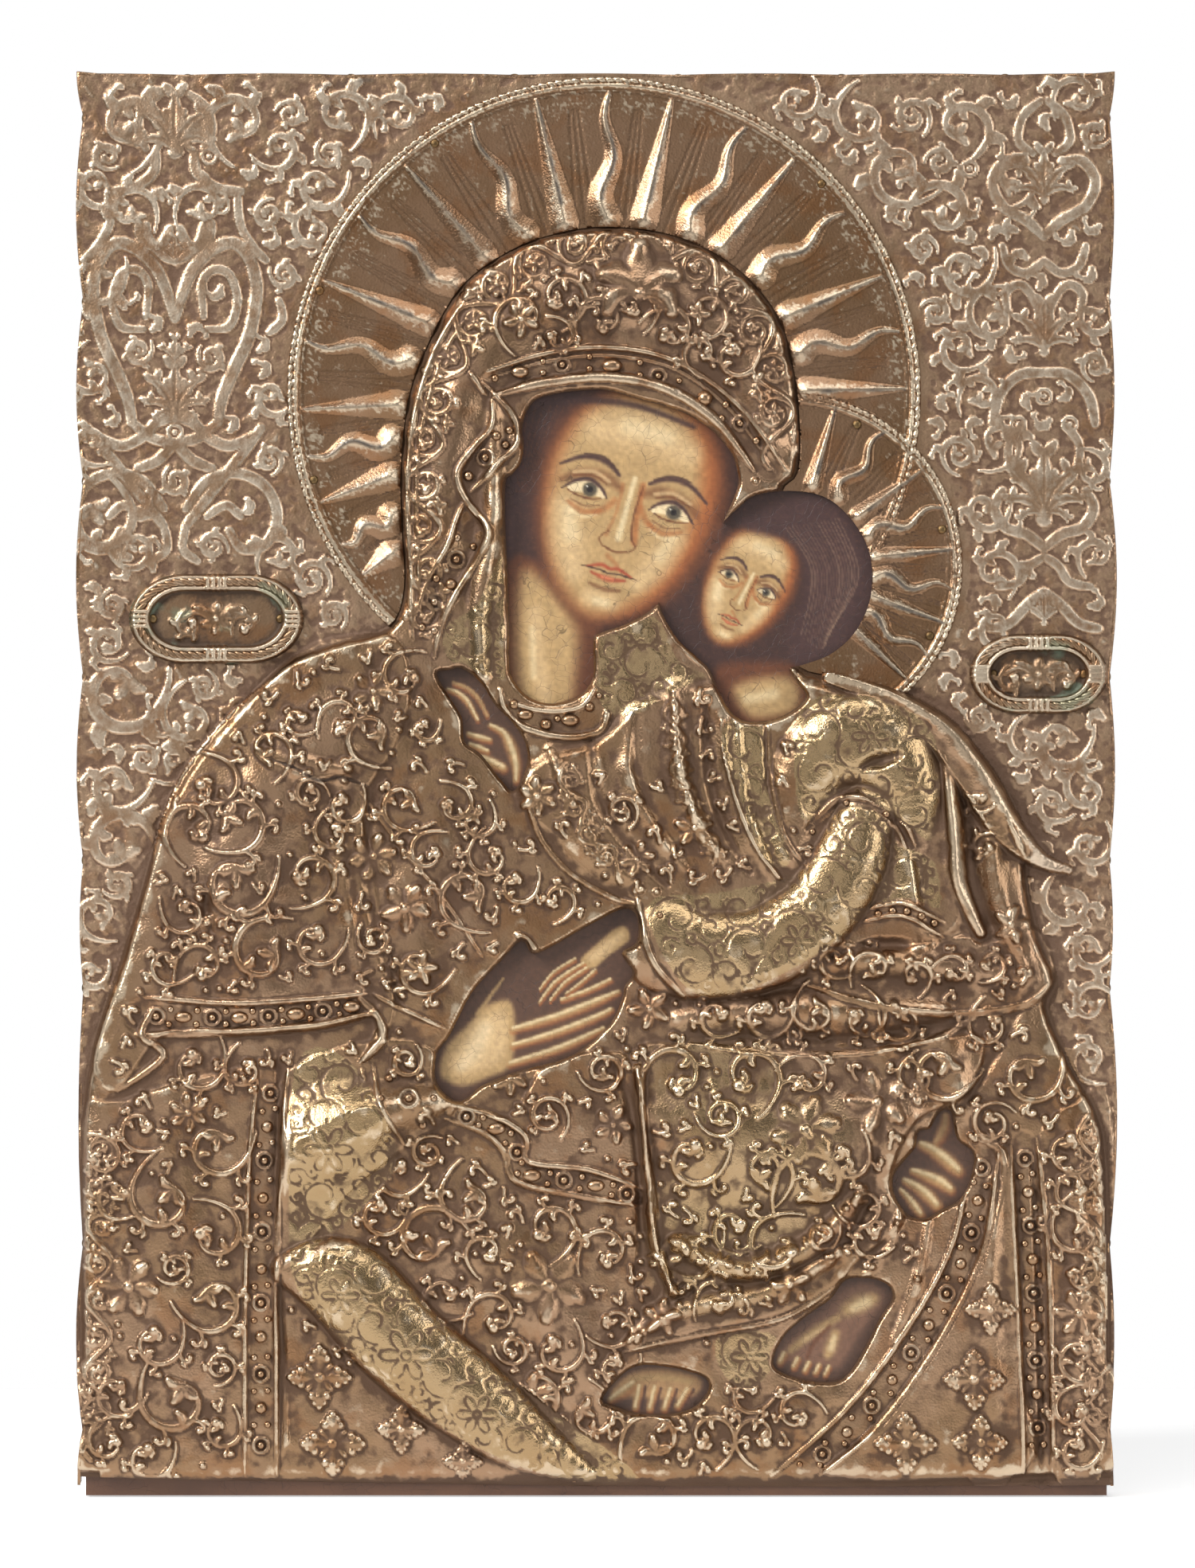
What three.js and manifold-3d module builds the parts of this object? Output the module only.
// Chased metal cover of an icon, on its wooden panel, in millimetres.
// X runs across the panel, Z runs up, the front faces -Y. The panel stands on Z = 0.
// Outlines are drawn on a sheet ruled in small units: u to the right, v downwards.
import * as THREE from "three";
import { mergeVertices } from "three/addons/utils/BufferGeometryUtils.js";
import Module from "manifold-3d";

const wasm = await Module();
wasm.setup();

// Driving sizes
const panelHeight = 450;
const panelThickness = 24;
const drawnHeight = 1773;
const unit = panelHeight / drawnHeight;
const drawnMiddle = 748.5;
const drawnFoot = 1874;
const rise = panelHeight / 450;

// Panel and ground
const plankCount = 3;
const panelHalf = 638 * unit;
const woodFront = -panelThickness / 2;
const woodBack = panelThickness / 2;
const gessoThickness = 1.5 * rise;
const gessoFront = woodFront - gessoThickness;

// Battens: their slots narrow towards the back and from one end to the other
const battenDepth = 7 * rise;
const battenProud = 4 * rise;
const battenHalfEntry = 18 * rise;
const battenHalfFar = 15 * rise;
const dovetailFlare = 3 * rise;
const battenGap = 0.3 * rise;
const battenUpperZ = 338 * rise;
const battenLowerZ = 96 * rise;

// Sheet
const sheet = 1.0 * rise;
const flangeSheet = 0.8 * rise;
const flangeDepth = 15.5 * rise;
const shellWall = 1.15 * rise;
const lowInSheet = 0.5 * rise;
const figureRise = 4.4 * rise;
const childRise = 6.6 * rise;
const fit = 0.4 * rise;

// Nails and rivets
const nailHead = 1.7 * rise;
const nailHeadRise = 1.1 * rise;
const nailShank = 0.7 * rise;
const nailLength = 10 * rise;
const nailClearance = 0.3 * rise;
const nailPlane = -5 * rise;
const rivetHead = 1.5 * rise;
const rivetHeadRise = 0.9 * rise;
const rivetShank = 0.7 * rise;
const rivetEnd = 0.3 * rise;

// Hanger
const stapleWire = 1.25 * rise;
const stapleHalfGap = 4 * rise;
const stapleIn = 9 * rise;
const stapleOut = 6.2 * rise;
const hangerZ = 411 * rise;
const ringRadius = 14 * rise;
const ringTube = 1.5 * rise;
const ringOffset = 2.6 * rise;
const ringSides = 20;
const ringPlay = 0.15 * rise;
const ringTubeSides = 8;

const metal = new THREE.MeshStandardMaterial({
  color: 0xa08a6c,
  metalness: 0.85,
  roughness: 0.4,
});
const metalBright = new THREE.MeshStandardMaterial({
  color: 0xb3a084,
  metalness: 0.85,
  roughness: 0.35,
});
const metalDark = new THREE.MeshStandardMaterial({
  color: 0x6f6150,
  metalness: 0.8,
  roughness: 0.5,
});
const wood = new THREE.MeshStandardMaterial({ color: 0x5a4030, roughness: 0.8 });
const paint = new THREE.MeshStandardMaterial({ color: 0xb98d55, roughness: 0.6 });
const iron = new THREE.MeshStandardMaterial({
  color: 0x3b3836,
  metalness: 0.8,
  roughness: 0.6,
});

// Drawing units to millimetres on the front
const place = ([u, v]) => [(u - drawnMiddle) * unit, (drawnFoot - v) * unit];
const turnArea = (ring) =>
  ring.reduce((sum, [x, z], i) => {
    const [nx, nz] = ring[(i + 1) % ring.length];
    return sum + x * nz - nx * z;
  }, 0) / 2;
const leftTurning = (ring) => (turnArea(ring) < 0 ? [...ring].reverse() : ring);

// Moves each corner of a left-turning ring inwards (or outwards, below zero)
function inset(ring, distance) {
  const count = ring.length;
  return ring.map(([x, z], i) => {
    const [px, pz] = ring[(i + count - 1) % count];
    const [nx, nz] = ring[(i + 1) % count];
    const a = Math.hypot(x - px, z - pz) || 1;
    const b = Math.hypot(nx - x, nz - z) || 1;
    const ax = -(z - pz) / a;
    const az = (x - px) / a;
    const bx = -(nz - z) / b;
    const bz = (nx - x) / b;
    const mx = ax + bx;
    const mz = az + bz;
    const size = Math.max(mx * mx + mz * mz, 0.8);
    return [x + (2 * distance * mx) / size, z + (2 * distance * mz) / size];
  });
}

function fromParts(points, faces) {
  const geometry = new THREE.BufferGeometry();
  geometry.setAttribute("position", new THREE.Float32BufferAttribute(points, 3));
  geometry.setIndex(faces);
  return geometry;
}

// Rings of equal length stacked from back to front: each is [ring, height above the gesso]
function stack(levels) {
  const count = levels[0][0].length;
  const points = [];
  const faces = [];
  for (const [ring, height] of levels)
    for (const [x, z] of ring) points.push(x, gessoFront - height, z);
  for (let k = 0; k + 1 < levels.length; k++)
    for (let i = 0; i < count; i++) {
      const j = (i + 1) % count;
      const a = k * count + i;
      const b = k * count + j;
      const c = a + count;
      const d = b + count;
      faces.push(a, b, d, a, d, c);
    }
  const cap = (ring) =>
    THREE.ShapeUtils.triangulateShape(
      ring.map(([x, z]) => new THREE.Vector2(x, z)),
      [],
    );
  for (const [a, b, c] of cap(levels[0][0])) faces.push(a, c, b);
  const top = (levels.length - 1) * count;
  for (const [a, b, c] of cap(levels[levels.length - 1][0]))
    faces.push(top + a, top + b, top + c);
  return fromParts(points, faces);
}

// A ridge along a line of [x, z, half width, height], round or soft across
function ridgeSolid(line, cuts, soft, foot, base) {
  const points = [];
  const faces = [];
  const ringSize = cuts + 3;
  line.forEach(([x, z, half, height], i) => {
    const before = line[Math.max(i - 1, 0)];
    const after = line[Math.min(i + 1, line.length - 1)];
    const dx = after[0] - before[0];
    const dz = after[1] - before[1];
    const size = Math.hypot(dx, dz) || 1;
    const sx = dz / size;
    const sz = -dx / size;
    const put = (t, h) =>
      points.push(x + sx * half * t, gessoFront - h, z + sz * half * t);
    put(-1, base);
    for (let k = 0; k <= cuts; k++) {
      const t = soft ? -1 + (2 * k) / cuts : -Math.cos((Math.PI * k) / cuts);
      const share = soft
        ? (1 + Math.cos(Math.PI * t)) / 2
        : Math.sqrt(Math.max(1 - t * t, 0));
      put(t, foot + Math.max(height - foot, lowInSheet / 4) * share);
    }
    put(1, base);
  });
  for (let i = 0; i + 1 < line.length; i++)
    for (let k = 0; k < ringSize; k++) {
      const next = (k + 1) % ringSize;
      const a = i * ringSize + k;
      const b = i * ringSize + next;
      const c = a + ringSize;
      const d = b + ringSize;
      faces.push(a, c, d, a, d, b);
    }
  const last = (line.length - 1) * ringSize;
  for (let k = 1; k + 1 < ringSize; k++) {
    faces.push(0, k, k + 1);
    faces.push(last, last + k + 1, last + k);
  }
  return fromParts(points, faces);
}

const weld = 1e-4;
function solid(geometry) {
  const bare = new THREE.BufferGeometry();
  bare.setAttribute("position", geometry.getAttribute("position"));
  bare.setIndex(geometry.index);
  const merged = mergeVertices(bare, weld);
  const build = (triVerts) =>
    new wasm.Manifold(
      new wasm.Mesh({
        numProp: 3,
        vertProperties: merged.attributes.position.array,
        triVerts,
      }),
    );
  const corners = new Uint32Array(merged.index.array);
  const made = build(corners);
  if (made.volume() > 0) return made;
  for (let i = 0; i < corners.length; i += 3)
    [corners[i + 1], corners[i + 2]] = [corners[i + 2], corners[i + 1]];
  return build(corners);
}
const together = (list) => wasm.Manifold.union(list);

function geometryOf(made) {
  const mesh = made.getMesh();
  const step = mesh.numProp;
  const count = mesh.vertProperties.length / step;
  const points = [];
  for (let i = 0; i < count; i++)
    for (let k = 0; k < 3; k++) points.push(mesh.vertProperties[i * step + k]);
  return fromParts(points, [...mesh.triVerts]);
}

// Ridge from a table of [u, v, half width in units, height]
function ridgeLine(rows) {
  return rows.map(([u, v, half, height]) => {
    const [x, z] = place([u, v]);
    return [x, z, half * unit, height * rise];
  });
}

const closedOutline = (rows) => leftTurning(rows.map(place));
const prism = (ring, low, high) =>
  stack([
    [ring, low],
    [ring, high],
  ]);

// Forms that are pressed up from behind. Each row is [u, v, half width in units, height].
// A soft form fades out at its sides, the others are round across.
const formFoot = 4 * rise;
const foldFoot = 5 * rise;
const edgeFoot = 3.6 * rise;
const pressed = [
  // Hood, shoulder and mantle
  {
    cuts: 4,
    soft: true,
    foot: formFoot,
    rows: [
      [575, 790, 46, 6],
      [556, 640, 48, 7.2],
      [580, 500, 54, 8],
      [650, 405, 70, 8.6],
      [750, 370, 74, 9],
      [850, 395, 70, 9],
      [928, 460, 56, 8.4],
      [968, 560, 34, 7.4],
    ],
  },
  {
    cuts: 4,
    soft: true,
    foot: formFoot,
    rows: [
      [520, 880, 60, 7.2],
      [420, 930, 105, 10],
      [330, 1030, 115, 10.4],
      [300, 1140, 110, 10.4],
      [315, 1235, 100, 9],
    ],
  },
  {
    cuts: 4,
    soft: true,
    foot: formFoot,
    rows: [
      [560, 980, 60, 6.8],
      [520, 1120, 80, 7.8],
      [530, 1260, 60, 7.2],
    ],
  },
  // Plain cloth between hood and cheek
  {
    cuts: 4,
    soft: true,
    foot: formFoot,
    rows: [
      [622, 520, 20, 6.5],
      [618, 660, 26, 8],
      [604, 760, 30, 8.4],
      [606, 840, 20, 7],
    ],
  },
  // Child: shoulder, upper arm, lower sleeve
  {
    cuts: 5,
    soft: false,
    foot: formFoot,
    rows: [
      [990, 1070, 24, 9],
      [1000, 985, 40, 11],
      [1045, 935, 56, 13],
      [1100, 935, 60, 13.4],
      [1140, 990, 42, 12],
      [1140, 1060, 24, 9],
    ],
  },
  {
    cuts: 6,
    soft: false,
    foot: formFoot,
    rows: [
      [1086, 1022, 40, 12.4],
      [1062, 1085, 50, 13.6],
      [1020, 1148, 52, 14],
      [955, 1190, 54, 13.8],
      [890, 1198, 58, 13],
      [838, 1188, 60, 11.6],
    ],
  },
  {
    cuts: 4,
    soft: true,
    foot: foldFoot,
    rows: [
      [905, 900, 24, 8],
      [915, 980, 26, 9.2],
      [945, 1060, 26, 9],
      [975, 1110, 18, 8],
    ],
  },
  {
    cuts: 4,
    soft: true,
    foot: foldFoot,
    rows: [
      [850, 870, 32, 8],
      [850, 950, 36, 9.4],
      [868, 1020, 30, 9],
      [915, 1090, 22, 8],
    ],
  },
  {
    cuts: 4,
    soft: true,
    foot: foldFoot,
    rows: [
      [800, 905, 24, 7.6],
      [790, 970, 34, 9],
      [830, 1050, 30, 9],
      [870, 1095, 20, 8],
    ],
  },
  {
    cuts: 4,
    soft: true,
    foot: foldFoot,
    rows: [
      [700, 955, 22, 7.4],
      [705, 1010, 36, 9],
      [745, 1075, 34, 9],
      [800, 1110, 20, 8],
    ],
  },
  {
    cuts: 4,
    soft: true,
    foot: formFoot,
    rows: [
      [1130, 1060, 36, 9],
      [1140, 1130, 40, 9],
      [1150, 1190, 36, 8],
    ],
  },
  // Long edge of the child's cloth and its corner
  {
    cuts: 3,
    soft: false,
    foot: edgeFoot,
    rows: [
      [1040, 852, 8, 8],
      [1110, 878, 12, 9],
      [1175, 925, 16, 10.4],
      [1222, 985, 18, 10.4],
      [1258, 1040, 16, 9],
      [1300, 1078, 10, 7],
      [1338, 1092, 5, 5],
    ],
  },
  {
    cuts: 3,
    soft: false,
    foot: formFoot,
    rows: [
      [1180, 950, 10, 9],
      [1195, 1040, 14, 10],
      [1200, 1110, 13, 9.6],
      [1225, 1170, 9, 8],
    ],
  },
  {
    cuts: 4,
    soft: true,
    foot: formFoot,
    rows: [
      [1240, 1010, 24, 8],
      [1245, 1090, 28, 8.4],
      [1262, 1165, 26, 8],
      [1290, 1225, 18, 6.6],
    ],
  },
  {
    cuts: 4,
    soft: true,
    foot: formFoot,
    rows: [
      [1000, 1215, 24, 8],
      [1090, 1205, 36, 10.4],
      [1190, 1212, 42, 10.4],
      [1280, 1228, 30, 8.8],
    ],
  },
  // Lap and knee cloth
  {
    cuts: 4,
    soft: true,
    foot: formFoot,
    rows: [
      [850, 1278, 26, 8],
      [950, 1272, 42, 10],
      [1070, 1274, 46, 10.4],
      [1180, 1268, 30, 9.2],
    ],
  },
  {
    cuts: 4,
    soft: true,
    foot: formFoot,
    rows: [
      [820, 1400, 52, 9.2],
      [900, 1430, 120, 12.2],
      [990, 1440, 122, 13.2],
      [1070, 1430, 98, 12],
      [1130, 1400, 58, 9.4],
    ],
  },
  {
    cuts: 4,
    soft: true,
    foot: formFoot,
    rows: [
      [800, 1340, 14, 7.4],
      [812, 1470, 16, 8.6],
      [822, 1560, 16, 9],
      [845, 1620, 12, 8.4],
    ],
  },
  {
    cuts: 4,
    soft: true,
    foot: formFoot,
    rows: [
      [850, 1560, 24, 9],
      [930, 1590, 28, 10],
      [1020, 1560, 28, 9.6],
      [1080, 1490, 22, 8.6],
    ],
  },
  {
    cuts: 4,
    soft: true,
    foot: formFoot,
    rows: [
      [790, 1680, 10, 6.6],
      [860, 1640, 24, 8.4],
      [960, 1620, 26, 8.6],
      [1050, 1570, 20, 8],
    ],
  },
  {
    cuts: 4,
    soft: true,
    foot: formFoot,
    rows: [
      [1190, 1310, 42, 8.6],
      [1200, 1370, 46, 8.6],
      [1240, 1400, 32, 7.6],
    ],
  },
  // Near forearm and its lower sleeve
  {
    cuts: 6,
    soft: true,
    foot: formFoot,
    rows: [
      [330, 1470, 84, 9],
      [400, 1432, 96, 13],
      [465, 1400, 62, 14],
      [530, 1385, 34, 11],
      [575, 1378, 18, 8],
    ],
  },
  {
    cuts: 6,
    soft: false,
    foot: formFoot,
    rows: [
      [362, 1590, 22, 9],
      [432, 1606, 56, 13],
      [505, 1682, 60, 14],
      [585, 1748, 56, 13],
      [655, 1800, 42, 11],
      [735, 1846, 16, 7],
    ],
  },
  // Skirts
  {
    cuts: 4,
    soft: true,
    foot: formFoot,
    rows: [
      [560, 1500, 62, 7],
      [660, 1600, 92, 8],
      [740, 1720, 82, 7.6],
      [800, 1838, 60, 6.6],
    ],
  },
  {
    cuts: 4,
    soft: true,
    foot: formFoot,
    rows: [
      [210, 1390, 84, 7.4],
      [212, 1560, 94, 8.2],
      [212, 1700, 94, 8],
      [212, 1840, 86, 7],
    ],
  },
  {
    cuts: 4,
    soft: true,
    foot: formFoot,
    rows: [
      [1345, 1420, 32, 7.2],
      [1352, 1600, 35, 7.8],
      [1350, 1836, 33, 6.8],
    ],
  },
  {
    cuts: 4,
    soft: true,
    foot: formFoot,
    rows: [
      [1245, 1480, 20, 7.6],
      [1230, 1600, 34, 8.6],
      [1210, 1740, 40, 8.4],
      [1190, 1838, 40, 7.2],
    ],
  },
  {
    cuts: 4,
    soft: true,
    foot: formFoot,
    rows: [
      [900, 1760, 60, 6],
      [960, 1800, 70, 6.4],
      [1040, 1750, 40, 6],
    ],
  },
];

// Chased edges that stand on the forms above
const hemCuts = 2;
const hemFoot = 4 * rise;
const hems = [
  [
    [520, 804, 4, 6],
    [514, 700, 5, 7],
    [512, 600, 5, 7],
    [522, 520, 5, 7],
    [548, 440, 4, 7],
    [590, 372, 4, 7],
  ],
  [
    [600, 490, 5, 8],
    [648, 542, 6, 8.6],
    [584, 600, 6, 9],
    [634, 668, 6, 9.4],
    [566, 762, 5, 9],
  ],
  [
    [612, 470, 5, 8],
    [690, 446, 6, 9.6],
    [770, 440, 6, 10.4],
    [850, 458, 6, 10.4],
    [925, 512, 6, 9.6],
    [985, 592, 5, 8],
  ],
  [
    [620, 500, 6, 7.4],
    [690, 482, 9, 9],
    [760, 476, 10, 9.6],
    [835, 490, 10, 9.4],
    [900, 532, 9, 8.8],
    [945, 592, 7, 7.6],
  ],
  [
    [628, 868, 5, 6.6],
    [660, 912, 6, 7.6],
    [710, 926, 6, 7.8],
    [756, 916, 6, 7.6],
    [770, 872, 5, 6.6],
  ],
  [
    [184, 1250, 4, 8.8],
    [300, 1258, 5, 10.6],
    [400, 1252, 5, 10.4],
    [462, 1246, 4, 9],
  ],
  [
    [178, 1296, 6, 8.8],
    [300, 1292, 7, 10.2],
    [400, 1282, 7, 10],
    [470, 1272, 6, 8.8],
  ],
  [
    [450, 1250, 6, 8],
    [482, 1300, 9, 9.6],
    [452, 1330, 6, 8.4],
  ],
  [
    [196, 1266, 6, 8],
    [180, 1300, 8, 9],
    [212, 1322, 6, 8],
    [150, 1368, 5, 7],
  ],
  [
    [456, 1340, 5, 10],
    [466, 1395, 7, 15],
    [500, 1445, 5, 11],
  ],
  [
    [364, 1340, 4, 8],
    [352, 1450, 4, 9.4],
    [348, 1600, 4, 8],
    [348, 1720, 4, 7],
    [348, 1844, 4, 6],
  ],
  [
    [328, 1350, 4, 7.4],
    [318, 1450, 4, 8],
    [312, 1600, 4, 7.6],
    [310, 1720, 4, 7],
    [310, 1844, 4, 6],
  ],
  [
    [570, 1386, 4, 8],
    [620, 1398, 5, 9],
    [660, 1424, 5, 9.4],
    [664, 1456, 5, 9.4],
    [740, 1466, 5, 9],
    [806, 1490, 4, 8.6],
  ],
  [
    [560, 1400, 4, 7.6],
    [610, 1420, 5, 8.6],
    [636, 1446, 5, 9],
    [650, 1480, 5, 9],
    [730, 1498, 5, 8.6],
    [800, 1508, 4, 8],
  ],
  [
    [1218, 1440, 4, 6.6],
    [1196, 1550, 5, 7.6],
    [1140, 1660, 5, 7.8],
    [1060, 1766, 5, 7.4],
    [970, 1846, 4, 6.2],
  ],
  [
    [1252, 1460, 4, 6.6],
    [1232, 1560, 5, 7.8],
    [1180, 1672, 5, 8],
    [1104, 1780, 5, 7.6],
    [1030, 1846, 4, 6.2],
  ],
  [
    [1266, 1440, 4, 6.6],
    [1272, 1560, 5, 7.8],
    [1278, 1700, 5, 7.6],
    [1282, 1844, 4, 6.2],
  ],
  [
    [1298, 1430, 4, 6.6],
    [1312, 1560, 5, 7.8],
    [1316, 1700, 5, 7.6],
    [1318, 1844, 4, 6.2],
  ],
  [
    [1012, 1232, 4, 8],
    [1100, 1258, 6, 10],
    [1200, 1268, 8, 10.4],
    [1285, 1256, 8, 9.4],
    [1322, 1226, 6, 7.6],
  ],
  [
    [1018, 1030, 4, 12],
    [1060, 998, 6, 14.4],
    [1120, 1018, 6, 14],
    [1146, 1060, 4, 11],
  ],
  [
    [800, 1128, 4, 9],
    [812, 1190, 5, 12.4],
    [862, 1256, 4, 9],
  ],
  [
    [864, 1312, 5, 7.4],
    [960, 1320, 7, 9],
    [1070, 1322, 7, 9],
    [1180, 1300, 6, 8],
    [1240, 1258, 5, 7],
  ],
  [
    [782, 1694, 4, 6.6],
    [880, 1672, 5, 8],
    [980, 1652, 5, 8],
    [1046, 1614, 4, 7.6],
  ],
];

// Outline of the figure, of the child on it, and of each opening
const figure = [
  [107, 1846],
  [105, 1700],
  [104, 1560],
  [105, 1420],
  [115, 1330],
  [131, 1271],
  [151, 1218],
  [176, 1131],
  [200, 1047],
  [232, 976],
  [281, 913],
  [354, 836],
  [420, 808],
  [488, 788],
  [508, 740],
  [505, 660],
  [504, 590],
  [514, 500],
  [540, 430],
  [580, 362],
  [640, 318],
  [700, 296],
  [765, 288],
  [850, 300],
  [925, 340],
  [976, 400],
  [996, 470],
  [1003, 540],
  [1000, 596],
  [980, 622],
  [976, 700],
  [985, 790],
  [1003, 838],
  [1060, 852],
  [1146, 876],
  [1196, 910],
  [1255, 985],
  [1282, 1046],
  [1288, 1110],
  [1300, 1170],
  [1322, 1228],
  [1312, 1262],
  [1328, 1306],
  [1346, 1344],
  [1372, 1390],
  [1384, 1440],
  [1388, 1560],
  [1388, 1700],
  [1387, 1846],
];
const tip = [
  [1268, 1030],
  [1345, 1082],
  [1345, 1102],
  [1280, 1112],
];
const child = [
  [645, 980],
  [680, 945],
  [745, 925],
  [795, 880],
  [850, 860],
  [920, 850],
  [1005, 848],
  [1060, 862],
  [1126, 892],
  [1166, 940],
  [1190, 1010],
  [1202, 1090],
  [1210, 1160],
  [1170, 1190],
  [1100, 1188],
  [1050, 1208],
  [980, 1236],
  [920, 1250],
  [862, 1254],
  [832, 1225],
  [796, 1165],
  [780, 1128],
  [736, 1100],
  [690, 1060],
  [655, 1024],
];
const faces = [
  [672, 505],
  [715, 494],
  [760, 492],
  [800, 503],
  [859, 521],
  [897, 546],
  [920, 577],
  [926, 603],
  [907, 657],
  [947, 624],
  [988, 618],
  [1032, 625],
  [1064, 650],
  [1086, 685],
  [1093, 720],
  [1089, 759],
  [1070, 797],
  [1040, 823],
  [1005, 836],
  [1008, 868],
  [991, 894],
  [964, 905],
  [932, 905],
  [910, 888],
  [890, 842],
  [852, 806],
  [837, 783],
  [826, 759],
  [811, 771],
  [782, 786],
  [745, 803],
  [743, 855],
  [725, 875],
  [696, 884],
  [667, 878],
  [640, 843],
  [640, 784],
  [635, 667],
  [635, 608],
  [658, 580],
  [656, 544],
  [660, 520],
];
const smallHand = [
  [549, 847],
  [581, 840],
  [605, 859],
  [622, 886],
  [643, 907],
  [660, 934],
  [660, 962],
  [646, 993],
  [629, 979],
  [605, 948],
  [581, 929],
  [581, 903],
  [567, 879],
];
const largeHand = [
  [548, 1354],
  [549, 1324],
  [567, 1296],
  [594, 1244],
  [629, 1206],
  [663, 1172],
  [690, 1188],
  [732, 1165],
  [780, 1141],
  [800, 1150],
  [801, 1179],
  [780, 1196],
  [794, 1220],
  [780, 1254],
  [767, 1282],
  [738, 1310],
  [708, 1328],
  [652, 1343],
  [608, 1360],
  [581, 1382],
  [562, 1376],
];
const rightHand = [
  [1173, 1397],
  [1190, 1393],
  [1199, 1428],
  [1219, 1445],
  [1217, 1474],
  [1203, 1503],
  [1162, 1526],
  [1138, 1523],
  [1121, 1497],
  [1120, 1474],
  [1147, 1438],
  [1151, 1419],
];
const rightFoot = [
  [1041, 1628],
  [1060, 1604],
  [1089, 1601],
  [1118, 1615],
  [1118, 1632],
  [1086, 1685],
  [1066, 1718],
  [1046, 1731],
  [1008, 1729],
  [974, 1716],
  [971, 1698],
  [990, 1668],
];
const leftFoot = [
  [756, 1754],
  [775, 1728],
  [797, 1712],
  [830, 1711],
  [887, 1729],
  [888, 1746],
  [867, 1765],
  [834, 1772],
  [790, 1769],
];

// Edge of the sheet: how far it stands off the panel side at each height, zero at a nail
const nailRows = [150, 380, 605, 850, 1080, 1240, 1560, 1790];
const nailHeights = nailRows.map((v) => (drawnFoot - v) * unit);
const nailFlat = 3 * rise;
const topFlat = 3 * rise;
const leftBulge = [2.2, 2.4, 2.3, 2.4, 2.2, 1.2, 1.6, 2.3, 2.0];
const rightBulge = [1.8, 1.6, 1.7, 2.5, 1.9, 1.2, 2.6, 1.6, 1.4];
const sheetTop = panelHeight + 0.8 * rise;
const sheetFootLeft = 5.8 * rise;
const sheetFootRight = 3 * rise;
const cornerStep = 2 * rise;
const topEdge = panelHeight;

function sideEdge(sign, bulges, foot) {
  const rows = [];
  const add = (z, bulge) => rows.push([sign * (panelHalf + bulge * rise), z]);
  add(foot, bulges[bulges.length - 1]);
  for (let i = nailHeights.length - 1; i >= 0; i--) {
    const below = i + 1 < nailHeights.length ? nailHeights[i + 1] : foot;
    add((nailHeights[i] + below) / 2, bulges[i + 1]);
    add(nailHeights[i] - nailFlat, 0);
    add(nailHeights[i] + nailFlat, 0);
  }
  add(sheetTop - cornerStep, bulges[0]);
  return rows;
}
const leftInner = sideEdge(-1, leftBulge, sheetFootLeft);
const rightInner = sideEdge(1, rightBulge, sheetFootRight);
const topNails = [-130, -78, -26, 26, 78, 130];
const topInner = [];
topNails.forEach((x, i) => {
  if (i) topInner.push([((topNails[i - 1] + x) / 2) * rise, topEdge + lowInSheet]);
  topInner.push([x * rise - topFlat, topEdge]);
  topInner.push([x * rise + topFlat, topEdge]);
});
const cornerRise = 0.9 * rise;
const cornerReach = 2.2 * rise;
const cornerLeft = [-panelHalf - cornerReach, topEdge + cornerRise];
const cornerRight = [panelHalf + cornerReach, topEdge + cornerRise];
const innerPath = [
  ...leftInner,
  cornerLeft,
  ...topInner,
  cornerRight,
  ...rightInner.slice().reverse(),
];
const outward = ([x, z], i) => {
  if (i < leftInner.length) return [x - flangeSheet, z];
  if (i === leftInner.length) return [x - flangeSheet, z + flangeSheet];
  if (i <= leftInner.length + topInner.length) return [x, z + flangeSheet];
  if (i === leftInner.length + topInner.length + 1)
    return [x + flangeSheet, z + flangeSheet];
  return [x + flangeSheet, z];
};
const outerPath = innerPath.map(outward);
const footWave = [
  [400, 1858],
  [720, 1863],
  [1050, 1864],
].map(place);

const ground = leftTurning([...outerPath, ...footWave.slice().reverse()]);
const flange = leftTurning([...outerPath, ...innerPath.slice().reverse()]);

// Cover sheet
const figureRing = closedOutline(figure);
const childRing = closedOutline(child);
const mound = (ring, low, top, ease) =>
  solid(
    stack([
      [ring, low],
      [inset(ring, ease * 0.35), low + (top - low) * 0.6],
      [inset(ring, ease), top],
    ]),
  );
const ridge = ({ rows, cuts, soft, foot }) =>
  solid(ridgeSolid(ridgeLine(rows), cuts, soft, foot, lowInSheet));
const hollowRidge = ({ rows, cuts, soft, foot }) =>
  solid(
    ridgeSolid(
      ridgeLine(rows)
        .slice(1, -1)
        .map(([x, z, half, height]) => [
          x,
          z,
          Math.max(half - 1.2 * shellWall, unit),
          height - shellWall,
        ]),
      cuts,
      soft,
      foot - shellWall,
      -sheet,
    ),
  );

const highForm = 10.4 * rise;
const isHigh = ({ rows }) => rows.some((row) => row[3] * rise > highForm);
const figureEase = 1.6 * rise;
const deepCut = 30 * rise;
const hollowInset = 2.6 * rise;
const clothTip = closedOutline(tip);
const formsArea = together([
  solid(prism(figureRing, 0, deepCut)),
  solid(prism(clothTip, 0, deepCut)),
]);
const forms = together([
  ...pressed.map(ridge),
  ...hems.map((rows) => ridge({ rows, cuts: hemCuts, soft: false, foot: hemFoot })),
]).intersect(formsArea);
const outerForms = [
  forms,
  solid(prism(ground, 0, sheet)),
  solid(stack([
    [flange, -flangeDepth],
    [flange, lowInSheet],
  ])),
  mound(figureRing, lowInSheet, figureRise, figureEase),
  mound(childRing, lowInSheet, childRise, figureEase),
];
const innerForms = [
  solid(prism(inset(figureRing, hollowInset), -sheet, figureRise - shellWall)),
  solid(prism(inset(childRing, hollowInset), -sheet, childRise - shellWall)),
  ...pressed.filter(isHigh).map(hollowRidge),
];
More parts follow.
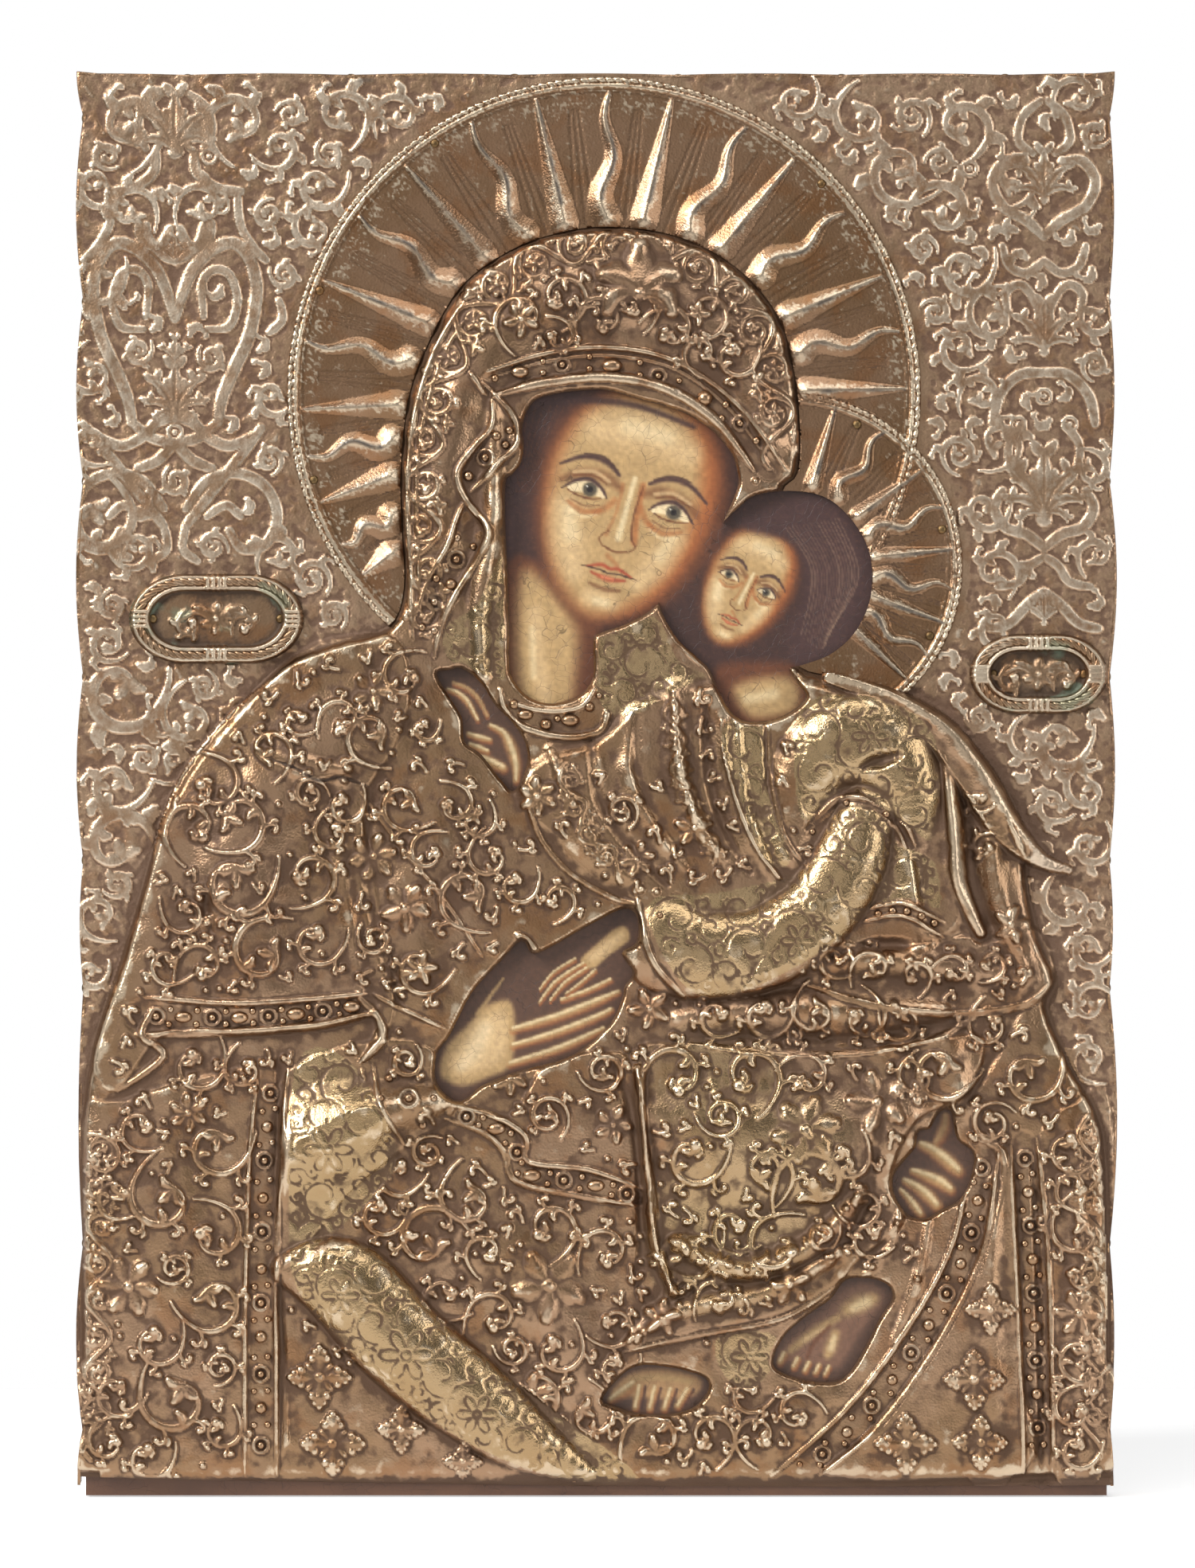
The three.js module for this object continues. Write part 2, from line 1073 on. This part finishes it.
const openings = [faces, smallHand, largeHand, rightHand, rightFoot, leftFoot].map(
  closedOutline,
);
const openingCuts = openings.map((ring) => solid(prism(ring, -sheet, deepCut)));

// Round pieces along Y, Z or X
function turned(profile, sides) {
  const points = profile.map(([r, h]) => new THREE.Vector2(r, h));
  return new THREE.LatheGeometry(points, sides);
}
const sidesSmall = 6;
const nailProfile = [
  [0, -nailLength],
  [nailShank, -nailLength + nailShank * 2],
  [nailShank, 0],
  [nailHead, 0],
  [0, nailHeadRise],
];
const rivetProfile = (depth) => [
  [0, -depth],
  [rivetShank, -depth],
  [rivetShank, 0],
  [rivetHead, 0],
  [0, rivetHeadRise],
];
const holeProfile = (depth, radius, above) => [
  [0, -depth],
  [radius, -depth],
  [radius, above],
  [0, above],
];
const turnTo = { left: Math.PI / 2, right: -Math.PI / 2 };
function onFront(geometry, x, height, z) {
  return geometry.rotateX(Math.PI).translate(x, gessoFront - height, z);
}

const nails = [];
topNails.forEach((x, i) =>
  nails.push({
    name: `nail_top_${i + 1}`,
    side: "top",
    at: [x * rise, nailPlane, topEdge + flangeSheet],
  }),
);
nailRows.forEach((v, i) => {
  const z = (drawnFoot - v) * unit;
  nails.push({
    name: `nail_left_${i + 1}`,
    side: "left",
    at: [-panelHalf - flangeSheet, nailPlane, z],
  });
  nails.push({
    name: `nail_right_${i + 1}`,
    side: "right",
    at: [panelHalf + flangeSheet, nailPlane, z],
  });
});
function nailGeometry(profile, { side, at }) {
  const lathe = turned(profile, sidesSmall);
  if (side === "top") return lathe.rotateX(Math.PI / 2).translate(...at);
  return lathe.rotateZ(turnTo[side]).translate(...at);
}
// A lathe stands along Y: for the top it is stood up along Z
const holeRadius = nailShank + nailClearance;
const nailHoles = nails.map((nail) =>
  solid(
    nailGeometry(
      holeProfile(nailLength + nailClearance, holeRadius, nailHead),
      nail,
    ),
  ),
);

// Halos: discs of sheet that end at the figure and at each other
const halo = {
  middle: [758, 497],
  reach: 396,
  rayFootShare: 0.518,
  rayEndShare: 0.949,
  rayHalfShare: 0.043,
  rivetShare: 0.9545,
  rimSpan: [-14, 228],
  rimSides: 32,
};
const smallHalo = {
  middle: [990, 712],
  reach: 216,
  rayFootShare: 0.5,
  rayEndShare: 0.944,
  rayHalfShare: 0.051,
  rivetShare: 0.907,
  rimSpan: [-47, 88],
  rimSides: 18,
};
const haloSheet = 0.8 * rise;
const haloFace = sheet + haloSheet;
const discSides = 40;
function disc({ middle, reach }, low, high, grow) {
  const [x, z] = place(middle);
  const ring = [];
  for (let i = 0; i < discSides; i++) {
    const a = (2 * Math.PI * i) / discSides;
    const r = (reach + grow) * unit;
    ring.push([x + r * Math.cos(a), z + r * Math.sin(a)]);
  }
  return solid(prism(ring, low, high));
}
function rimRing({ middle, reach, rimSpan: [from, to], rimSides }) {
  const rows = [];
  const [x, z] = place(middle);
  for (let i = 0; i <= rimSides; i++) {
    const a = ((from + ((to - from) * i) / rimSides) * Math.PI) / 180;
    const r = (reach - rimHalf) * unit;
    rows.push([x + r * Math.cos(a), z + r * Math.sin(a), rimHalf * unit, rimRise]);
  }
  return solid(ridgeSolid(rows, 2, false, haloFace - lowInSheet, haloFace - lowInSheet));
}
const rimHalf = 5;
const rimRise = 3.0 * rise;
const rayRise = 3.7 * rise;
const rayFall = 0.9 * rise;
const rayTipHalf = 2.5;
const rayWave = 9;
const waveSteps = 4;
function ray({ middle, reach, rayFootShare, rayEndShare, rayHalfShare }, angle, wavy) {
  const rows = [];
  const inner = reach * rayFootShare;
  const outer = reach * rayEndShare;
  const half = reach * rayHalfShare;
  const count = wavy ? waveSteps : 1;
  const turn = (angle * Math.PI) / 180;
  for (let i = 0; i <= count; i++) {
    const t = i / count;
    const r = inner + (outer - inner) * t;
    const side = wavy ? rayWave * Math.sin(t * Math.PI * 3) * (1 - t * 0.5) : 0;
    const u = middle[0] + r * Math.cos(turn) - side * Math.sin(turn);
    const v = middle[1] - r * Math.sin(turn) - side * Math.cos(turn);
    const [x, z] = place([u, v]);
    rows.push([x, z, (half * (1 - t) + rayTipHalf) * unit, rayRise - t * rayFall]);
  }
  return solid(ridgeSolid(rows, 2, false, haloFace - lowInSheet, haloFace - lowInSheet));
}
const largeRays = [
  217, 210, 201, 192, 183, 170, 158, 144, 131, 116, 103, 89, 77, 62, 51, 37, 23, 12,
  1,
];
const smallRays = [74, 55, 36, 21, 6, -8, -20, -33, -44];
const haloRivetAngles = [196.5, 160, 124, 44];
const smallRivetAngles = [64.5, 13.5, -26.5];
const rivetSpot = ({ middle, reach, rivetShare }, angle) => {
  const turn = (angle * Math.PI) / 180;
  const r = reach * rivetShare;
  return place([middle[0] + r * Math.cos(turn), middle[1] - r * Math.sin(turn)]);
};
const haloRivets = haloRivetAngles.map((angle) => rivetSpot(halo, angle));
const smallHaloRivets = smallRivetAngles.map((angle) => rivetSpot(smallHalo, angle));

const keepOut = solid(prism(inset(figureRing, -fit), -sheet, deepCut));
const openingKeepOut = solid(prism(inset(openings[0], -fit / 4), -sheet, deepCut));
const boardFace = [
  [-panelHalf, 0],
  [panelHalf, 0],
  [panelHalf, topEdge],
  [-panelHalf, topEdge],
];
const onBoard = solid(prism(boardFace, -sheet, deepCut));

function haloSolid(spec, angles, cuts, rivets) {
  const body = together([
    disc(spec, sheet, haloFace, 0),
    rimRing(spec),
    ...angles.map((angle, i) => ray(spec, angle, i % 2 === 1)),
  ]);
  const holes = rivets.map(([x, z]) => {
    return solid(
      onFront(
        turned(
          holeProfile(haloSheet * 2, rivetShank + nailClearance, rivetHeadRise),
          sidesSmall,
        ),
        x,
        haloFace,
        z,
      ),
    );
  });
  return wasm.Manifold.difference([body, ...cuts, ...holes]);
}
const biggest = (made) =>
  made.decompose().sort((a, b) => b.volume() - a.volume())[0];
const haloMother = biggest(
  haloSolid(
    halo,
    largeRays,
    [keepOut, openingKeepOut, disc(smallHalo, -sheet, deepCut, fit / unit)],
    haloRivets,
  ).intersect(onBoard),
);
const haloChild = biggest(
  haloSolid(
    smallHalo,
    smallRays,
    [keepOut, openingKeepOut],
    smallHaloRivets,
  ).intersect(onBoard),
);

// Name plates: an oval of sheet with a rope frame and four collars
function oval(middle, halfU, halfV, count) {
  const ring = [];
  for (let i = 0; i < count; i++) {
    const a = (2 * Math.PI * i) / count;
    const power = 0.8;
    const c = Math.cos(a);
    const s = Math.sin(a);
    const u = middle[0] + halfU * Math.sign(c) * Math.abs(c) ** power;
    const v = middle[1] - halfV * Math.sign(s) * Math.abs(s) ** power;
    ring.push(place([u, v]));
  }
  return ring;
}
const plateSides = 20;
const rivetFromFrame = 9;
const innerBandShare = 0.85;
const outerBandShare = 0.15;
const plateSheet = 0.7 * rise;
const frameRise = 4.6 * rise;
const frameShoulder = 3.2 * rise;
const collarRise = 5.2 * rise;
const plateFace = sheet + plateSheet;
function namePlate({ middle, halfU, halfV, band }) {
  const ring = (grow) => oval(middle, halfU + grow, halfV + grow, plateSides);
  const outerLevels = [
    [ring(0), sheet],
    [ring(0), plateFace],
    [ring(-band * outerBandShare), frameShoulder],
    [ring(-band / 2), frameRise],
  ];
  const bowl = [
    [ring(-band), plateFace],
    [ring(-band * innerBandShare), frameShoulder],
    [ring(-band / 2), frameRise],
  ];
  const body = solid(stack(outerLevels));
  const dish = solid(stack([...bowl, [ring(-band / 2), frameRise + sheet]]));
  const collars = [
    [halfU - band / 2, 0, 0.55, 0.9],
    [-halfU + band / 2, 0, 0.55, 0.9],
    [0, halfV - band / 2, 0.9, 0.55],
    [0, -halfV + band / 2, 0.9, 0.55],
  ].map(([du, dv, su, sv]) => {
    const at = [middle[0] + du, middle[1] + dv];
    const wide = oval(at, band * su, band * sv, sidesSmall);
    const narrow = oval(at, band * su * 0.8, band * sv * 0.8, sidesSmall);
    return solid(
      stack([
        [wide, sheet + plateSheet / 2],
        [wide, frameRise],
        [narrow, collarRise],
      ]),
    );
  });
  return together([body.subtract(dish), ...collars]);
}
const plateLeft = { middle: [274, 778], halfU: 109, halfV: 56, band: 20 };
const plateRight = { middle: [1301, 847], halfU: 86, halfV: 50, band: 20 };
const plateRivets = ({ middle, halfU, band }) => {
  const reach = halfU - band - rivetFromFrame;
  return [
    place([middle[0] - reach, middle[1]]),
    place([middle[0] + reach, middle[1]]),
  ];
};
function frontHole([x, z], top) {
  return solid(
    onFront(
      turned(
        holeProfile(top + sheet, rivetShank + nailClearance, rivetHeadRise),
        sidesSmall,
      ),
      x,
      top,
      z,
    ),
  );
}
const leftRivets = plateRivets(plateLeft);
const rightRivets = plateRivets(plateRight);
const cartoucheLeft = wasm.Manifold.difference([
  namePlate(plateLeft),
  ...leftRivets.map((at) => frontHole(at, plateFace)),
]);
const cartoucheRight = wasm.Manifold.difference([
  namePlate(plateRight),
  ...rightRivets.map((at) => frontHole(at, plateFace)),
]);

const rivets = [];
haloRivets.forEach((at, i) =>
  rivets.push({ name: `rivet_halo_mother_${i + 1}`, at, face: haloFace }),
);
smallHaloRivets.forEach((at, i) =>
  rivets.push({ name: `rivet_halo_child_${i + 1}`, at, face: haloFace }),
);
leftRivets.forEach((at, i) =>
  rivets.push({ name: `rivet_cartouche_left_${i + 1}`, at, face: plateFace }),
);
rightRivets.forEach((at, i) =>
  rivets.push({ name: `rivet_cartouche_right_${i + 1}`, at, face: plateFace }),
);

// Beads and rosettes that stand on the hems: [u, v, half width, height]
const beads = [
  [640, 470, 9, 9.6],
  [768, 460, 11, 11],
  [884, 504, 10, 10.4],
  [668, 898, 11, 8.4],
  [714, 902, 11, 8.6],
  [566, 740, 9, 9],
  [286, 1272, 14, 10.4],
  [414, 1264, 12, 10],
  [335, 1440, 8, 8.6],
  [620, 1410, 10, 9.8],
  [1230, 1487, 9, 8],
  [1192, 1594, 9, 8.6],
  [1120, 1724, 8, 8.4],
  [1285, 1466, 9, 8],
  [1295, 1668, 8, 8.4],
  [165, 1612, 18, 10.4],
  [690, 1600, 20, 10.4],
  [515, 1375, 14, 12.6],
  [802, 334, 16, 10.6],
  [470, 868, 20, 11],
  [508, 1138, 20, 11.4],
];
const rosettes = [
  [403, 1725, 40],
  [420, 1808, 40],
  [505, 1790, 30],
  [582, 1830, 24],
  [1240, 1640, 32],
  [1220, 1728, 38],
  [1135, 1808, 38],
  [1228, 1806, 34],
];
const petalRise = 6.6 * rise;
function boss(u, v, half, height, sides) {
  const ring = (grow) => {
    const out = [];
    for (let i = 0; i < sides; i++) {
      const a = (2 * Math.PI * (i + 0.5)) / sides;
      out.push(place([u + half * grow * Math.cos(a), v - half * grow * Math.sin(a)]));
    }
    return out;
  };
  return solid(
    stack([
      [ring(1), lowInSheet],
      [ring(0.6), height],
    ]),
  );
}
const bossSides = 5;
const bosses = beads.map(([u, v, half, height]) =>
  boss(u, v, half, height * rise, bossSides),
);
// A rosette is a star of eight lobes with a round knob
const lobes = 8;
function rosette(u, v, size) {
  const star = (outer, inner) =>
    Array.from({ length: lobes * 2 }, (_, i) => {
      const a = (Math.PI * (i + 0.5)) / lobes;
      const r = size * (i % 2 ? inner : outer);
      return place([u + r * Math.cos(a), v - r * Math.sin(a)]);
    });
  return solid(
    stack([
      [star(0.95, 0.42), lowInSheet],
      [star(0.8, 0.34), petalRise],
    ]),
  );
}
for (const [u, v, size] of rosettes) {
  bosses.push(rosette(u, v, size));
  bosses.push(boss(u, v, size * 0.26, petalRise + lowInSheet, bossSides));
}

let cover = together([...outerForms, ...bosses]);
cover = cover.subtract(together(innerForms));
cover = cover.subtract(together(openingCuts));
cover = cover.subtract(together(nailHoles));
cover = cover.subtract(
  together(rivets.map(({ at }) => frontHole(at, plateFace))),
);
cover = biggest(cover);

// Panel: planks with nail holes and batten slots
const plankWidth = (2 * panelHalf) / plankCount;
function box(x0, x1, y0, y1, z0, z1) {
  return new THREE.BoxGeometry(x1 - x0, y1 - y0, z1 - z0).translate(
    (x0 + x1) / 2,
    (y0 + y1) / 2,
    (z0 + z1) / 2,
  );
}
function battenShape(middleZ, entrySide, side, floor, back, reach) {
  const points = [];
  const faces = [];
  for (const x of [-reach, reach]) {
    const t = (x * entrySide + panelHalf) / (2 * panelHalf);
    const half = battenHalfFar + (battenHalfEntry - battenHalfFar) * t - side;
    const slope = dovetailFlare / battenDepth;
    const backHalf = half - slope * (back - floor) * (back > woodBack ? 0 : 1);
    for (const [h, y] of [
      [-half, floor],
      [half, floor],
      [backHalf, back],
      [-backHalf, back],
    ])
      points.push(x, y, middleZ + h);
  }
  for (let k = 0; k < 4; k++) {
    const n = (k + 1) % 4;
    faces.push(k, k + 4, n + 4, k, n + 4, n);
  }
  faces.push(0, 1, 2, 0, 2, 3, 4, 6, 5, 4, 7, 6);
  return fromParts(points, faces);
}
const slotFloor = woodBack - battenDepth;
function slotCut(middleZ, entry) {
  const reach = panelHalf + sheet;
  return solid(battenShape(middleZ, entry, 0, slotFloor, woodBack, reach));
}
function battenBody(middleZ, entry) {
  const lower = solid(
    battenShape(middleZ, entry, battenGap, slotFloor, woodBack, panelHalf - sheet),
  );
  const inside = battenHalfFar - dovetailFlare - battenGap;
  const proud = solid(
    box(
      -panelHalf + sheet,
      panelHalf - sheet,
      slotFloor + battenGap,
      woodBack + battenProud,
      middleZ - inside,
      middleZ + inside,
    ),
  );
  return together([lower, proud]);
}
const slots = [slotCut(battenUpperZ, -1), slotCut(battenLowerZ, 1)];
const slotMouth = [battenUpperZ, battenLowerZ].map((z) =>
  solid(
    box(
      -panelHalf - sheet,
      panelHalf + sheet,
      slotFloor + battenGap,
      woodBack + sheet,
      z - battenHalfFar + dovetailFlare,
      z + battenHalfFar - dovetailFlare,
    ),
  ),
);
const stapleHoles = [-1, 1].map((side) =>
  solid(
    new THREE.CylinderGeometry(
      stapleWire + nailClearance,
      stapleWire + nailClearance,
      stapleIn + nailClearance + sheet,
      sidesSmall,
    ).translate(
      0,
      woodBack + sheet - (stapleIn + nailClearance + sheet) / 2,
      hangerZ + side * stapleHalfGap,
    ),
  ),
);
const boardCuts = together([...nailHoles, ...slots, ...slotMouth, ...stapleHoles]);
function plank(index) {
  const x0 = -panelHalf + index * plankWidth;
  return solid(
    box(x0, x0 + plankWidth, woodFront, woodBack, 0, panelHeight),
  ).subtract(boardCuts);
}

// Staple: two legs and a round bow, in the YZ plane
function pipe(path, radius, sides) {
  const points = [];
  const faces = [];
  path.forEach(([y, z], i) => {
    const before = path[Math.max(i - 1, 0)];
    const after = path[Math.min(i + 1, path.length - 1)];
    const dy = after[0] - before[0];
    const dz = after[1] - before[1];
    const size = Math.hypot(dy, dz);
    for (let k = 0; k < sides; k++) {
      const a = (2 * Math.PI * (k + 0.5)) / sides;
      const side = radius * Math.cos(a);
      points.push(
        radius * Math.sin(a),
        y - (dz / size) * side,
        z + (dy / size) * side,
      );
    }
  });
  for (let i = 0; i + 1 < path.length; i++)
    for (let k = 0; k < sides; k++) {
      const n = (k + 1) % sides;
      const a = i * sides + k;
      const b = i * sides + n;
      faces.push(a, b, b + sides, a, b + sides, a + sides);
    }
  const last = (path.length - 1) * sides;
  for (let k = 1; k + 1 < sides; k++) {
    faces.push(0, k + 1, k);
    faces.push(last, last + k, last + k + 1);
  }
  return fromParts(points, faces);
}
const staplePath = [[woodBack - stapleIn, hangerZ - stapleHalfGap]];
const bowSteps = 8;
const bowStart = woodBack + stapleOut - stapleHalfGap;
for (let i = 0; i <= bowSteps; i++) {
  const a = -Math.PI / 2 + (Math.PI * i) / bowSteps;
  staplePath.push([
    bowStart + stapleHalfGap * Math.cos(a),
    hangerZ + stapleHalfGap * Math.sin(a),
  ]);
}
staplePath.push([woodBack - stapleIn, hangerZ + stapleHalfGap]);
const stapleGeometry = pipe(staplePath, stapleWire, sidesSmall);

// The ring hangs on the flat top of the lower leg
const legTop = hangerZ - stapleHalfGap + stapleWire * Math.cos(Math.PI / sidesSmall);
const pivotZ = legTop + ringPlay + ringTube;
const ringGeometry = new THREE.TorusGeometry(
  ringRadius,
  ringTube,
  ringTubeSides,
  ringSides,
).rotateX(Math.PI / 2);

const root = new THREE.Group();
root.name = "icon_cover";
function add(name, geometry, material) {
  const clean = geometry.index ? geometry : mergeVertices(geometry);
  const mesh = new THREE.Mesh(clean, material);
  mesh.name = name;
  root.add(mesh);
}
["board_left", "board_middle", "board_right"].forEach((name, i) =>
  add(name, geometryOf(plank(i)), wood),
);
add("batten_upper", geometryOf(battenBody(battenUpperZ, -1)), wood);
add("batten_lower", geometryOf(battenBody(battenLowerZ, 1)), wood);
add(
  "gesso_ground",
  geometryOf(
    solid(box(-panelHalf, panelHalf, gessoFront, woodFront, 0, panelHeight)),
  ),
  paint,
);
add("cover_sheet", geometryOf(cover), metal);
add("halo_mother", geometryOf(haloMother), metalBright);
add("halo_child", geometryOf(haloChild), metalBright);
add("cartouche_left", geometryOf(cartoucheLeft), metalDark);
add("cartouche_right", geometryOf(cartoucheRight), metalDark);
for (const nail of nails)
  add(nail.name, geometryOf(solid(nailGeometry(nailProfile, nail))), metalDark);
for (const { name, at, face } of rivets) {
  const depth = face - rivetEnd;
  const body = turned(rivetProfile(depth), sidesSmall);
  add(name, geometryOf(solid(onFront(body, at[0], face, at[1]))), metalDark);
}
add("hanger_staple", geometryOf(solid(stapleGeometry)), iron);
add(
  "hanger_ring",
  geometryOf(
    solid(
      ringGeometry.translate(0, woodBack + ringOffset, pivotZ - ringRadius),
    ),
  ),
  iron,
);

export default root;
